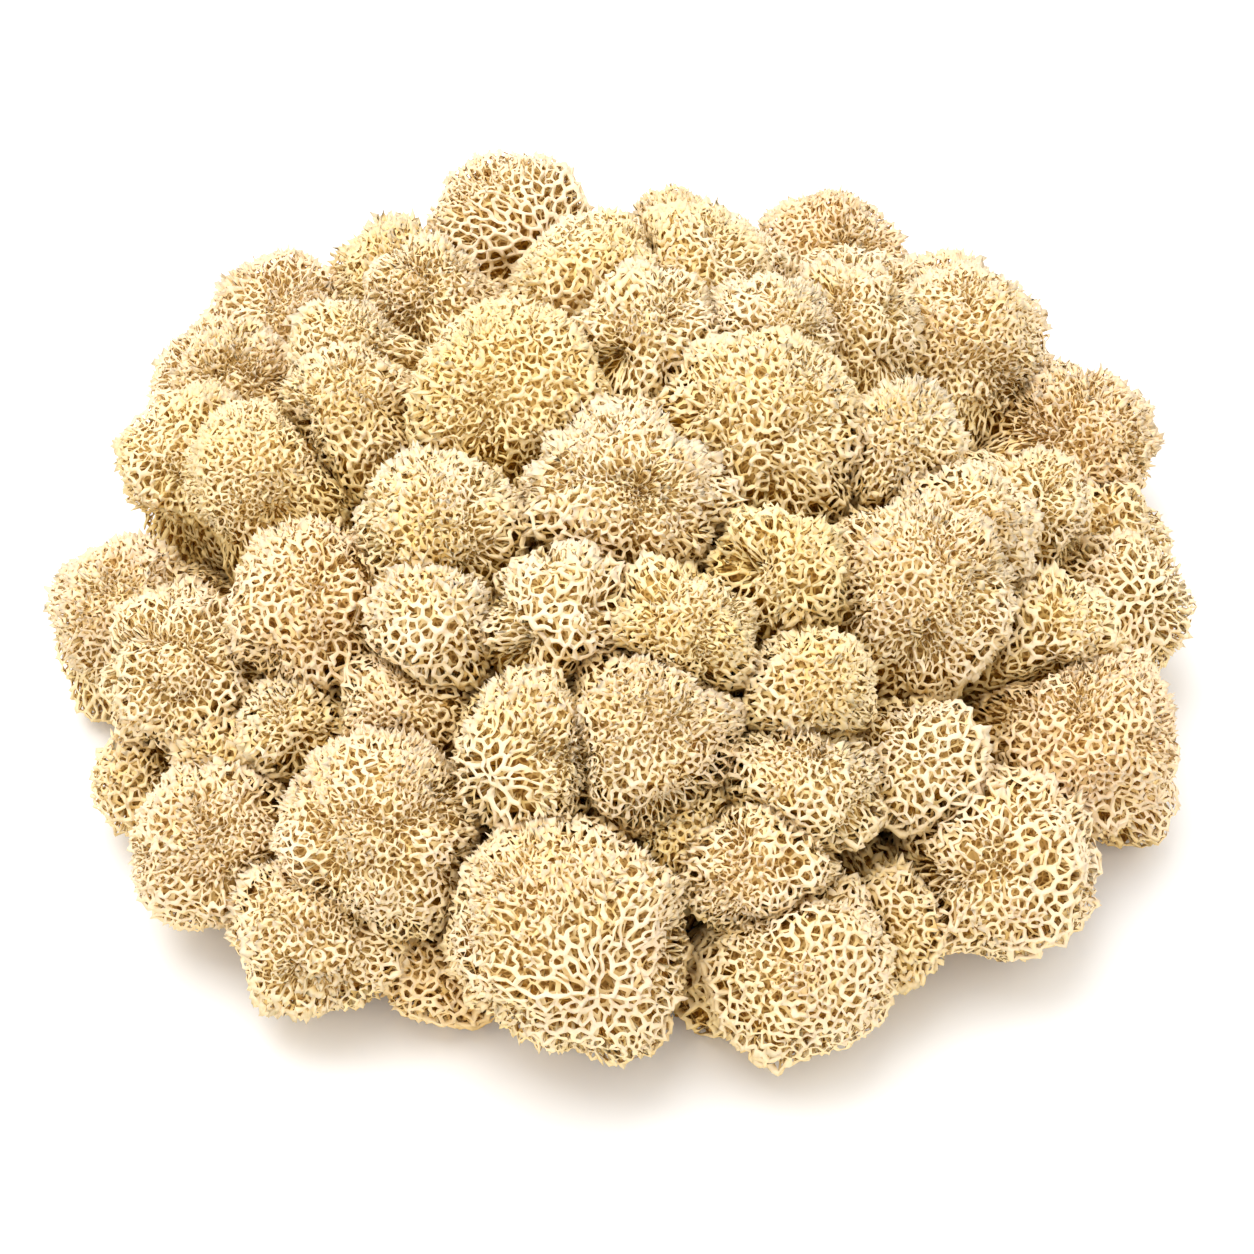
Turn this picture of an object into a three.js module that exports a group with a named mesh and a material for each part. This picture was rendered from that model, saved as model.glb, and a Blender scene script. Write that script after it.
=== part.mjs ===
// Reindeer moss clump: a low dome of round cushion heads, each one a lichen plant of its own.
// Every plant is one solid: a tapered bundle of stems that rises from the base of the clump and
// opens into a ball of short branchlets. Millimetres, +Z up, the clump stands on z = 0.

import * as THREE from 'three';
import { ConvexHull } from 'three/addons/math/ConvexHull.js';

// ---- driving dimensions -------------------------------------------------------------------

const DOME_REACH_X = 103; // half the width over the outermost heads
const DOME_REACH_Y = 100; // half the depth over the outermost heads
const DOME_CROWN = 70; // height of the highest branchlet tips
const DOME_FOOT_SHARE = 0.88; // share of the reach (squared) at which heads sit on the ground
const DOME_SHOULDER = 1.2; // above 1 the dome is flat on top and steep at the rim
const SEAT_SHARE = 0.88; // height of a rim head's centre above the ground, in head radii

const UNDERGROWTH_DEPTH = 10; // stems fill the gaps between heads up to here below the dome
const GAP_PROBE = 1; // step in which a gap is measured
const BRIDGE = 8; // stems still reach the fill if it begins this far outside the ball

const MASS_SOFTNESS = 3.6; // how smoothly the heads of one mass run into each other
const CREVICE_SOFTNESS = 1.2; // the same between heads of different masses
const SOFTENING_ROUNDS = 8;
const NEIGHBOUR_REACH = 1.6; // heads this much further apart than they are big don't touch
const NEIGHBOUR_GAP = 0.3; // clearance between two plants that press together
const PRESS_REACH = 1.2; // heads this much further apart than they are big still touch
const PRESSED_SHARE = 1.2; // a plant may reach this much past its outline to meet a neighbour

const ROOT_SHARE = 0.55; // a plant's foot stands at this share of its head's place
const ROOT_DEPTH = 12; // the stems aim this far below the ground, which cuts their feet flat
const STEM_TOP_SHARE = 1; // half width of the stem bundle under the head, in head radii
const STEM_FOOT_SHARE = 0.85; // half width of the stem bundle on the ground, in head radii
const STEM_SIDES = 5;
const NEARLY_UPRIGHT = 0.1; // a stem that leans less than this has no side of its own
const STEM_CORNER_SHARE = 0.88; // where the corners of a foot lie, as a share of its half width

const BRANCHLET_PITCH = 8.6; // distance between neighbouring hollows of the branch network
const HEX_AREA = 0.87; // area of a hollow and its share of the net, in squared pitches
const MIN_HOLLOWS = 17; // fewest hollows on a small head
const CLOSEST_HOLLOWS = 0.8; // closest two hollows may lie, in pitches
const CLOSEST_TO_NEIGHBOUR = 0.55; // the same where a neighbouring plant presses
const TRIAL_DIRECTIONS = 600; // directions tried when hollows are spread over a head
const HOLLOW_DEPTH = 0.75; // where the hollows between whorls lie, in head radii
const FUNNEL_DEPTH = 0.88; // where the funnel in the middle of a whorl lies
const LUMPINESS = 0.08; // how far a head's outline swells and shrinks
const SLOW_SWELL = { x: 3.1, y: 2.7, height: 0.6 }; // turns of the slow wave, and its share
const QUICK_SWELL = { z: 5.3, x: 4.1, height: 0.4 };
const TIP_SCATTER = 0.07; // how unevenly the branchlets reach out
const TIP_LEAN = 0.3; // how far a finger leans towards one of its hollows
const HIDDEN_SLOPE = -0.5; // faces that look further down the stem than this stay plain

// ---- heads ---------------------------------------------------------------------------------
// Each head is [x, y, radius, lift, ...lobes]. Its height follows from the dome, plus the lift.
// A lobe is [x, y, radius, lift] and grows out of the same head.

const CROWN_HEADS = [
  [0, -12, 15, 0],
  [-20, 14, 17, 0],
  [25, 8, 17, 0],
  [4, 24, 11, 0],
  [26, 27, 11, 0],
  [-31, -17, 14, 0],
  [-10, -36, 11, 0],
  [10, -39, 10, 0],
  [28, -27, 10, -2, [20, -24, 7, 0]],
  [-31, -36, 10, 0],
  [49, 6, 10, 0, [61, 9, 7, -2]],
  [-5, 43, 14, 0],
];

const SHOULDER_HEADS = [
  [14, 47, 14, 0],
  [-36, 51, 11, 0, [-28, 63, 10, -6]],
  [-49, 33, 10, 0, [-57, 40, 9, -3]],
  [-48, 15, 12, -2],
  [-63, 6, 13, 0],
  [-52, -25, 14, 0, [-65, -19, 8, 0]],
  [-36, -43, 10, -8],
  [-55, -42, 8, -5],
  [-13, -56, 14, 0],
  [3, -54, 14, 0, [13, -47, 10, 0]],
  [12, -64, 9, -9],
  [32, -46, 10, 0],
  [30, -60, 12, 0],
  [50, -52, 10, 0, [57, -41, 7, -2]],
  [51, -24, 15, 0, [41, -12, 9, -3]],
  [60, -8, 11, 0],
  [42, 39, 12, 0],
  [63, 48, 16, 0],
  [73, 4, 10, 0],
  [74, -22, 11, 0],
  [-40, -64, 16, 0],
  [-77, 21, 13, 0, [-84, 11, 9, -4]],
  [-42, 73, 14, -3],
  [-4, 66, 15, -9],
  [20, 71, 14, -8],
  [44, 64, 14, -7],
];

const RIM_HEADS = [
  [-10, -80, 18, 0, [5, -76, 10, 2], [-2, -88, 13, 0]],
  [-50, -75, 14, 0],
  [-69, -58, 14, 0],
  [-84, -40, 8, 2],
  [-66, -43, 9, -6],
  [-75, -28, 14, 0],
  [-88, -8, 13, 0, [-93, -15, 8, -8]],
  [-32, -79, 7, -8],
  [23, -71, 11, 1],
  [30, -83, 15, -1],
  [45, -72, 10, -5],
  [64, -63, 16, 0],
  [80, -38, 16, 0, [89, -43, 8, -7]],
  [89, 15, 11, -3],
  [89, -6, 13, 0],
  [84, 34, 15, 0],
  [64, 73, 13, -3],
  [40, 87, 15, 0],
  [11, 92, 13, -3],
  [-21, 85, 17, 2],
  [-65, 67, 15, 0],
  [-73, 44, 14, -1],
];

// heads that have grown into one another, with only a shallow dip between them
const MASSES = [
  ['crown_head_07', 'crown_head_08', 'shoulder_head_09', 'shoulder_head_10'],
  ['crown_head_04', 'crown_head_12', 'shoulder_head_01', 'shoulder_head_24'],
  ['crown_head_06', 'crown_head_10'],
  ['crown_head_05', 'shoulder_head_17', 'shoulder_head_26'],
  ['shoulder_head_03', 'shoulder_head_04'],
  ['shoulder_head_05', 'shoulder_head_22'],
  ['shoulder_head_12', 'shoulder_head_13'],
  ['shoulder_head_15', 'shoulder_head_16'],
  ['shoulder_head_21', 'rim_head_02'],
  ['shoulder_head_20', 'rim_head_13'],
  ['rim_head_09', 'rim_head_10'],
  ['shoulder_head_18', 'rim_head_17'],
];

const FIRST_SEED = 1000;
const SMALL = 1e-5;
const IVORY = 0xe9dcb8;
const STRAW = 0xdfcd9d;
const SAND = 0xd8c193;

// ---- seeded random numbers -----------------------------------------------------------------

function seededRandom(seed) {
  let state = seed >>> 0;
  return () => {
    state = (state + 0x6d2b79f5) >>> 0;
    let t = state;
    t = Math.imul(t ^ (t >>> 15), t | 1);
    t ^= t + Math.imul(t ^ (t >>> 7), t | 61);
    return ((t ^ (t >>> 14)) >>> 0) / 4294967296;
  };
}

// ---- where the heads sit -------------------------------------------------------------------

// 1 in the middle of the dome, and 0 where the rim heads sit on the ground
function domeShape(x, y) {
  const reach = (x / DOME_REACH_X) ** 2 + (y / DOME_REACH_Y) ** 2;
  return 1 - Math.min(1, reach / DOME_FOOT_SHARE) ** DOME_SHOULDER;
}

function domeHeight(x, y, radius) {
  return SEAT_SHARE * radius + (DOME_CROWN - (1 + SEAT_SHARE) * radius) * domeShape(x, y);
}

function readHead([x, y, radius, lift, ...lobes], name, colour) {
  const place = ([px, py, size, raised]) => {
    const height = Math.max(domeHeight(px, py, size) + raised, SEAT_SHARE * size);
    return new THREE.Vector3(px, py, height);
  };
  const centre = place([x, y, radius, lift]);
  return {
    name,
    colour,
    centre,
    radius,
    lobes: lobes.map((lobe) => ({ offset: place(lobe).sub(centre), radius: lobe[2] })),
    mass: MASSES.findIndex((names) => names.includes(name)),
    root: new THREE.Vector3(ROOT_SHARE * x, ROOT_SHARE * y, -ROOT_DEPTH),
  };
}

function readTier(rows, tier, colour) {
  const number = (index) => String(index + 1).padStart(2, '0');
  return rows.map((row, index) => readHead(row, `${tier}_head_${number(index)}`, colour));
}

// ---- the space each plant may fill ---------------------------------------------------------
// Neighbouring plants press flat against each other. The plane between two heads is where both
// balls are equally near, so every plant fills a convex cell and none can cross another.

function cellPlanes(head, heads) {
  const planes = [{ normal: new THREE.Vector3(0, 0, -1), reach: head.centre.z, pressed: false }];
  for (const other of heads) {
    if (other === head) continue;
    const normal = new THREE.Vector3().subVectors(other.centre, head.centre);
    const apart = normal.length();
    normal.divideScalar(apart);
    const middle = (apart ** 2 + head.radius ** 2 - other.radius ** 2) / (2 * apart);
    const pressed = apart < PRESS_REACH * (head.radius + other.radius);
    planes.push({ normal, reach: middle - NEIGHBOUR_GAP / 2, pressed });
  }
  return planes;
}

function reachInCell(planes, direction) {
  let reach = Infinity;
  for (const plane of planes) {
    const slope = plane.normal.dot(direction);
    if (slope > SMALL) reach = Math.min(reach, plane.reach / slope);
  }
  return reach;
}

// ---- the outline of one plant, measured from the centre of its head ------------------------

function lobeReach(direction, offset, radius, grownFrom) {
  const along = direction.dot(offset);
  const chord = radius ** 2 - offset.lengthSq() + along ** 2;
  if (along < 0 || chord < 0) return 0;
  const half = Math.sqrt(chord);
  return along - half < grownFrom ? along + half : 0;
}

function stemReach(head, direction) {
  const length = head.root.distanceTo(head.centre);
  const axis = new THREE.Vector3().subVectors(head.root, head.centre).divideScalar(length);
  const cosine = direction.dot(axis);
  if (cosine <= SMALL) return 0;
  const sine = Math.sqrt(1 - Math.min(1, cosine ** 2));
  const top = STEM_TOP_SHARE * head.radius;
  const taper = (STEM_TOP_SHARE - STEM_FOOT_SHARE) * head.radius / length;
  return Math.min(length / cosine, top / (sine + cosine * taper + SMALL));
}

// two waves over the sphere, between 1 - LUMPINESS and 1 + LUMPINESS
function swelling(direction, phase) {
  const slow = Math.sin(SLOW_SWELL.x * direction.x + phase) * Math.cos(SLOW_SWELL.y * direction.y - phase);
  const quick = Math.sin(QUICK_SWELL.z * direction.z + QUICK_SWELL.x * direction.x + 2 * phase);
  return 1 + LUMPINESS * (SLOW_SWELL.height * slow + QUICK_SWELL.height * quick);
}

function ballReach(head, direction) {
  let reach = head.radius;
  for (const lobe of head.lobes) {
    reach = Math.max(reach, lobeReach(direction, lobe.offset, lobe.radius, head.radius));
  }
  return reach * swelling(direction, head.phase);
}

// how deep a point lies in another head's balls, below 0 outside them
function depthIn(other, point) {
  let depth = other.radius - point.distanceTo(other.centre);
  for (const lobe of other.lobes) {
    const away = point.distanceTo(other.centre.clone().add(lobe.offset));
    depth = Math.max(depth, lobe.radius - away);
  }
  return depth;
}

// the ball, raised in the valleys towards its neighbours so that the outlines run together
function meltedReach(head, direction) {
  const ball = ballReach(head, direction);
  let reach = ball;
  for (let round = 0; round < SOFTENING_ROUNDS; round += 1) {
    const point = head.centre.clone().addScaledVector(direction, reach);
    let raised = 0;
    for (const other of head.neighbours) {
      const kin = head.mass >= 0 && head.mass === other.mass;
      const softness = kin ? MASS_SOFTNESS : CREVICE_SOFTNESS;
      const lead = Math.min(0, depthIn(other, point) - (ball - reach));
      raised += softness * Math.log(1 + Math.exp(lead / softness));
    }
    reach = ball + raised;
  }
  return reach;
}

// up to where the stems of a plant fill the gap beside its head, from the ball's surface outwards
function undergrowthReach(head, direction, ball) {
  let filled = ball;
  let probe = ball;
  while (probe < filled + BRIDGE) {
    probe += GAP_PROBE;
    const point = head.centre.clone().addScaledVector(direction, probe);
    const top = DOME_CROWN * domeShape(point.x, point.y) - UNDERGROWTH_DEPTH;
    if (point.z < 0) return filled;
    if (point.z < top) filled = probe;
  }
  return filled;
}

function outlineReach(head, direction) {
  const ball = meltedReach(head, direction);
  return Math.max(undergrowthReach(head, direction, ball), stemReach(head, direction));
}

// ---- directions in which a plant has hollows -----------------------------------------------

function stemDirections(head) {
  const axis = new THREE.Vector3().subVectors(head.root, head.centre);
  const length = axis.length();
  axis.divideScalar(length);
  const side = new THREE.Vector3(0, 0, 1).cross(axis);
  if (side.length() < NEARLY_UPRIGHT) side.set(1, 0, 0);
  side.normalize();
  const other = new THREE.Vector3().crossVectors(axis, side);
  const spread = (STEM_CORNER_SHARE * STEM_FOOT_SHARE * head.radius) / length;
  const directions = [];
  for (let i = 0; i < STEM_SIDES; i += 1) {
    const turn = (2 * Math.PI * i) / STEM_SIDES;
    const direction = axis.clone();
    direction.addScaledVector(side, spread * Math.cos(turn));
    direction.addScaledVector(other, spread * Math.sin(turn));
    directions.push(direction.normalize());
  }
  return directions;
}

function spreadDirections(head, planes, random) {
  const area = 4 * Math.PI * head.radius ** 2;
  const wanted = Math.max(MIN_HOLLOWS, Math.round(area / (HEX_AREA * BRANCHLET_PITCH ** 2)));
  const pitch = Math.sqrt((4 * Math.PI) / (HEX_AREA * wanted));
  const chosen = stemDirections(head);
  const gapTo = (direction) => Math.min(...chosen.map((other) => other.angleTo(direction)));
  for (const plane of planes) {
    if (plane.pressed && gapTo(plane.normal) > CLOSEST_TO_NEIGHBOUR * CLOSEST_HOLLOWS * pitch) {
      chosen.push(plane.normal.clone());
    }
  }
  const goldenAngle = Math.PI * (3 - Math.sqrt(5));
  const turn = 2 * Math.PI * random();
  const trials = [];
  for (let i = 0; i < TRIAL_DIRECTIONS; i += 1) {
    const z = 1 - (2 * (i + 0.5)) / TRIAL_DIRECTIONS;
    const ring = Math.sqrt(1 - z * z);
    const angle = goldenAngle * i + turn;
    trials.push(new THREE.Vector3(ring * Math.cos(angle), ring * Math.sin(angle), z));
  }
  for (;;) {
    let best = null;
    let bestGap = CLOSEST_HOLLOWS * pitch;
    for (const candidate of trials) {
      const gap = gapTo(candidate);
      if (gap > bestGap) [best, bestGap] = [candidate, gap];
    }
    if (!best) return chosen;
    chosen.push(best);
  }
}

function hullFaces(directions) {
  const place = new Map(directions.map((direction, index) => [direction, index]));
  return new ConvexHull().setFromPoints(directions).faces.map((face) => {
    const edges = [face.edge, face.edge.next, face.edge.next.next];
    return edges.map((edge) => place.get(edge.head().point));
  });
}

// ---- one plant ----------------------------------------------------------------------------
// The surface is a net of hollows. Between every three hollows on the open side of the head stands
// a whorl: a stem end with a shallow funnel in its middle and three fingers round it.

function buildPlant(head, heads, seed) {
  const random = seededRandom(seed);
  head.phase = 2 * Math.PI * random();
  head.neighbours = heads.filter((other) => {
    const apart = other.centre.distanceTo(head.centre);
    return other !== head && apart < NEIGHBOUR_REACH * (head.radius + other.radius);
  });
  const planes = cellPlanes(head, heads);
  const directions = spreadDirections(head, planes, random);
  const upward = new THREE.Vector3().subVectors(head.centre, head.root).normalize();
  const positions = [];
  const triangles = [];

  const addPoint = (direction, reach) => {
    positions.push(direction.x * reach, direction.y * reach, direction.z * reach);
    return positions.length / 3 - 1;
  };
  const blend = (...weighted) => {
    const sum = new THREE.Vector3();
    for (const [direction, weight] of weighted) sum.addScaledVector(direction, weight);
    return sum.normalize();
  };

  for (const direction of directions) {
    const limit = reachInCell(planes, direction);
    const outline = outlineReach(head, direction);
    const pressed = planes.some((plane) => plane.pressed && plane.normal.angleTo(direction) < SMALL);
    const open = direction.dot(upward) > HIDDEN_SLOPE;
    let share = 1;
    if (pressed) share = PRESSED_SHARE;
    else if (open) share = HOLLOW_DEPTH;
    addPoint(direction, Math.min(limit, share * outline));
  }

  const addWhorl = ([a, b, c]) => {
    const [da, db, dc] = [directions[a], directions[b], directions[c]];
    const middle = blend([da, 1], [db, 1], [dc, 1]);
    const free = outlineReach(head, middle) < PRESSED_SHARE * reachInCell(planes, middle);
    if (!free || middle.dot(upward) < HIDDEN_SLOPE) {
      triangles.push(a, b, c);
      return;
    }
    const funnelReach = FUNNEL_DEPTH * outlineReach(head, middle);
    const funnel = addPoint(middle, Math.min(funnelReach, reachInCell(planes, middle)));
    for (const [p, q, dp, dq] of [[a, b, da, db], [b, c, db, dc], [c, a, dc, da]]) {
      const lean = 1 + TIP_LEAN * (random() - 0.5);
      const out = blend([dp, lean], [dq, 2 - lean], [middle, 1]);
      const reach = outlineReach(head, out) * (1 - TIP_SCATTER * random());
      const tip = addPoint(out, Math.min(reach, reachInCell(planes, out)));
      triangles.push(p, q, tip, q, funnel, tip, funnel, p, tip);
    }
  };
  hullFaces(directions).forEach(addWhorl);

  const geometry = new THREE.BufferGeometry();
  geometry.setAttribute('position', new THREE.Float32BufferAttribute(positions, 3));
  geometry.setIndex(triangles);
  geometry.computeVertexNormals();
  const material = new THREE.MeshStandardMaterial({ color: head.colour, roughness: 0.9, metalness: 0 });
  material.flatShading = true;
  const mesh = new THREE.Mesh(geometry, material);
  mesh.name = head.name;
  mesh.position.copy(head.centre);
  return mesh;
}

// ---- the clump -----------------------------------------------------------------------------

function buildClump() {
  const heads = [
    ...readTier(CROWN_HEADS, 'crown', IVORY),
    ...readTier(SHOULDER_HEADS, 'shoulder', STRAW),
    ...readTier(RIM_HEADS, 'rim', SAND),
  ];
  const clump = new THREE.Group();
  clump.name = 'reindeer_moss_clump';
  heads.forEach((head, index) => clump.add(buildPlant(head, heads, FIRST_SEED + index)));

  // the origin is on the ground, under the middle of the clump's outline
  const box = new THREE.Box3().setFromObject(clump, true);
  const middle = box.getCenter(new THREE.Vector3());
  clump.position.set(-middle.x, -middle.y, -box.min.z);
  clump.updateMatrixWorld(true);
  return clump;
}

export default buildClump();
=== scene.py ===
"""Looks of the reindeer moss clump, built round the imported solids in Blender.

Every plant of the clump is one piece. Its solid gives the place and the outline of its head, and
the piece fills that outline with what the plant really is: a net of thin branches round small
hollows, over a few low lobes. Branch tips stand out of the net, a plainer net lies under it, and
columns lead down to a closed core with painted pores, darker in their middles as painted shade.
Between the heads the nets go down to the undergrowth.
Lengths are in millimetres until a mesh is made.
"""

import math

import bmesh
import bpy
import numpy as np
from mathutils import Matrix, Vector, noise
from mathutils.bvhtree import BVHTree

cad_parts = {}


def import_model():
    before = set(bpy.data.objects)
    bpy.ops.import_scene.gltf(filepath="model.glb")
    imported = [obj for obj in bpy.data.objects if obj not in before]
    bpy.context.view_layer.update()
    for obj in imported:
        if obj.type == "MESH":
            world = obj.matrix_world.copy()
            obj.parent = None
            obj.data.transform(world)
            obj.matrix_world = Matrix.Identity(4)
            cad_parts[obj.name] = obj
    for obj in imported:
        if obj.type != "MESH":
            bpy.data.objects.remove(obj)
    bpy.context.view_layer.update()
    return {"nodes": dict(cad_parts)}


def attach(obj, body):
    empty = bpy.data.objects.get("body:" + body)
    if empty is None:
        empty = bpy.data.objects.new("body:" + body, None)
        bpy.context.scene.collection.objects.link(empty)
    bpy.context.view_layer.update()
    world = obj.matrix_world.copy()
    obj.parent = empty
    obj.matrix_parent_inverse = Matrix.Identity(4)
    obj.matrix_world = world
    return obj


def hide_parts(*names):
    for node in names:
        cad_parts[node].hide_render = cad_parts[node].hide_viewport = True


MM = 0.001
SEED = 41
FAR = 1000.0  # further than anything in the clump
SMALL = 1e-3  # least slope or angle to divide by
TINY = 1e-9  # least length to divide by

# ---- reading a solid -------------------------------------------------------------------------
TIP_FACES = 3  # a finger tip of the solid has this many faces, and a funnel has six
FUNNEL_FACES = 6
TIP_SHARE = 0.965  # mean distance of finger tips and funnels from the centre, in head radii
FUNNEL_SHARE = 0.88
FIT_ROUNDS = 30
USUAL_ERROR = 1.5  # what counts as the usual error of a fitted ball, in median errors
LEAST_ERROR = 0.3
OUTLIER = 3  # points this many usual errors off have no weight
TIP_BLUR = 2.4  # tips this near each other make one smooth outline
OUTLINE_LIFT = 1.035  # from the mean tip up to the outline of the longest ones
LOOKS = 640  # directions in which each head is measured
LOOK_BLUR = 1.7
OPEN_RAYS = 28  # rays in all directions that tell how open the surface is
OPEN_SHARE = 0.5  # where this share of the rays gets away, the surface is fully open
OPEN_RAY_LENGTH = 60
OPEN_LIFT = 0.6

# ---- noise -----------------------------------------------------------------------------------
NOISE_STEP = (17.3, -9.1, 5.7)  # from one noise to the next that has nothing to do with it
FUZZ_NOISE, PITCH_NOISE, LUMP_NOISE, UNDERGROWTH_NOISE = 1, 2, 3, 9

# ---- between the heads -----------------------------------------------------------------------
DOME_MIDDLE = (0.0, -2.6)
DOME_REACH = (103, 100)  # half the width and depth over the outermost heads
DOME_CROWN = 70
DOME_FOOT_SHARE = 0.88  # share of the reach (squared) at which heads sit on the ground
DOME_SHOULDER = 1.2  # above 1 the dome is flat on top and steep at the rim
UNDERGROWTH_DEPTH = 10.0  # branches fill the gaps between heads up to here below the dome
UNDERGROWTH_SWING = 3.0
UNDERGROWTH_SIZE = 15  # size of the waves in which that depth changes
BRIDGE = 9.0  # they still reach the fill if it begins this far outside the head
MELTING = 1.8  # how smoothly neighbouring heads run into each other
MELTING_ROUNDS = 5
NEIGHBOUR_REACH = 60
PRESS_OVERLAP = 0.3  # how far a plant goes past the plane half way to its neighbour

# ---- the outer net ---------------------------------------------------------------------------
TRIES = 46  # directions tried for hollows, for a head with a radius of 1 mm
TRY_SCATTER = 0.35  # how far they lie from even places, in distances between two of them
FINE_PITCH = 1.6  # usual distance between two hollows
PITCH_SPREAD = 0.3  # how much hollows side by side differ
HOLLOW_SWELL = 1.05  # a hollow is at most this many times as wide as the gap to its nearest
CLOSENESS = 0.42  # two hollows are no nearer than this share of both their pitches
PITCH_SWING = 0.45  # slow change of the pitch over a head
PITCH_SIZE = 8.0
MEAN_FUZZ = 0.5  # at which the pitch is the usual one
FUZZY_PITCH = 0.55  # how much finer the net is where it is fuzzy
FUZZ_SWING = 0.8  # slow change of how many branch tips stand out of the net
FUZZ_SIZE = 11.0
UPWARD_FUZZ = 0.45  # more tips on what faces the sky
EVEN_SLOPE = 0.45  # up-component of the directions with neither more nor fewer
HIDDEN_PITCH = 5.0  # least pitch where no net is made
LEAST_OPEN = 0.02  # nothing of a net is made where the surface is more closed than this
CREVICE_OPEN = 0.3  # below this the surface counts as part of a crevice
CREVICE_PITCH = 1.6  # how much coarser the net is at the bottom of one
PAINTED_SHADE_OPEN = 0.75  # below this openness the branches get painted shade: the colour of branches deeper than they are
CREVICE_PAINTED_SHADE = 1.9  # painted shade: how much deeper the colour of those in the darkest crevices is
BACK_PITCH = 1.5  # the net is coarser on the far sides and underneath
BACK_FROM = 0.15  # cosine of the angle from the front view at which that begins
LUMPS = [(13.0, 2.1), (3.2, 0.6)]  # size and height of the lumps of a head's outline
LOBE_TRIES = 300
LOBE_SIZE = 9.0  # usual distance between two lobes of a head
LOBE_SPREAD = 0.25
LOBE_CREST = 0.07  # crest of a lobe above the outline, and how steeply it falls, in lobe sizes
LOBE_FALL = 0.7
LOBE_BLEND = 0.5
VALLEY_PAINTED_SHADE = 0.2  # painted shade in valleys between lobes: how much deeper their colour is, for each millimetre
DEEPEST_VALLEY = 3
RELIEF_RISE = 3  # how quickly lumps, lobes and roughness grow as the surface opens
ROUGHNESS = 0.36  # how far junctions lie in or out of the outline
FUZZY_GAPS = 0.28  # share of branches left out where the net is fuzzy, beyond the usual

# ---- the branches of the outer net -----------------------------------------------------------
RIM_WIDTH = 0.2  # half width of a branch, for hollows 1 mm apart
RIM_GROWTH = 0.75  # power by which the width follows the pitch
WIDEST_PITCH = 5  # the width stops growing here
WIDTH_SPREAD = (0.7, 1.4)
CORNER_REACH = 1.15  # how far the corners of a junction lie from its middle, in half widths
CORNER_LIMIT = 0.55  # they reach no further than this share of its shortest branch
RIDGE = 0.7  # height of a branch over its edges, in half widths
DIP = 0.2  # how deep a junction's edges lie under the outline, where there is no fuzz
FUZZY_DIP = 0.78  # how much deeper they lie where it is fuzziest
DIP_SPREAD = 0.25
DEEPEST_DIP = 0.3  # in reaches
TIPS = 0.3  # share of junctions with a tip, where there is no fuzz
FUZZY_TIPS = 0.7  # how much larger that share is where it is fuzziest
TIP_RISE = (0.6, 1.1)  # how high a tip stands, in dips
TIP_LEAN = 0.3
SAG = (0.0, 0.15)  # how far the middle of a branch hangs down, in its lengths
BUDS = 0.45  # share of branches with a bud half way, for each unit of fuzz
BUDDING = 0.3  # what is added to the fuzz before that
BUD_RISE = (0.5, 1.0)  # how high a bud stands, in sags
LONG_RIM = 1.9  # longer branches get a waist and an underside
WAIST = (0.65, 0.95)  # half width there, in usual half widths
UNDERSIDE = 1.3  # how far the underside lies below the middle, in half widths

# ---- the columns under it --------------------------------------------------------------------
COLUMNS = 0.16  # share of junctions with a column, besides those round large hollows
LARGE_PITCH = 2.9
COLUMN_SINK = 0.5  # columns end this far inside the core
LEAST_COLUMN = 1
FOOT_SCATTER = 0.25
ISLAND_STEPS = 30

# ---- the inner net ---------------------------------------------------------------------------
INNER_DEPTH = 1.55
INNER_ROUGHNESS = 0.35
INNER_COARSENESS = 1.2  # its hollows are this much larger than the outer ones
INNER_WIDTH = 0.4  # half width of its branches
INNER_OPEN = 0.06  # it is left out where the surface is more closed than this

# ---- the core --------------------------------------------------------------------------------
CORE_DEPTH = 2.65
CORE_DEEPENING = 0.8  # how much deeper it lies for each millimetre that the hollows are larger
DEEPENING_LIMIT = 2.5  # up to this much larger
LEAST_CORE = 0.35  # it keeps this share of the reach
CORE_ROUGHNESS = 0.4
CORE_LOOKS = 520
CORE_SCATTER = 0.2  # how far its corners lie from even places, in distances between two of them
CORE_OPEN = 0.1  # below this openness it comes nearer to the solid's own outline
CORE_OVERLAP = 0.4  # where plants press together their cores overlap, so no light comes through
FOOT_HEIGHT = 0.5  # what lies lower belongs to the foot of a plant
DEEPEST = 9  # greatest depth that the colours tell apart

# ---- how heads differ ------------------------------------------------------------------------
FUZZ = (0.3, 0.7)  # mean share of fuzz on a head
PITCH_SHARE = (0.86, 1.16)  # mean pitch on a head, in usual ones
BROKEN = (0.04, 0.1)  # share of branches left out everywhere
LOBED = (0.35, 1.0)  # how strong the lobes are
USUAL_TINT = (0.35, 0.75)

# Where a stout branch forks at the surface: how far to the right and up its node lies as seen from
# the front and above, in head radii, the pitch there, and how far round it the hollows are large.
FORKS = {
    "rim_head_20": (0.42, -0.12, 2.9, 0.8),
    "shoulder_head_09": (-0.55, -0.25, 3.0, 0.5),
    "rim_head_01": (0.3, -0.5, 2.2, 0.7),
    "rim_head_15": (0.25, 0.15, 2.3, 0.7),
}
FORK_STRETCH = 1.5  # how long and narrow the hollows round a fork are
FORK_REACH = 1.5  # and up to what angle from it that goes
LEAST_STRETCH = 0.45
FORK_FUZZ = 0.9  # how much less fuzzy it is at the fork
FORK_SWING = 0.5  # share of the usual change of the pitch that stays there

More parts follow.
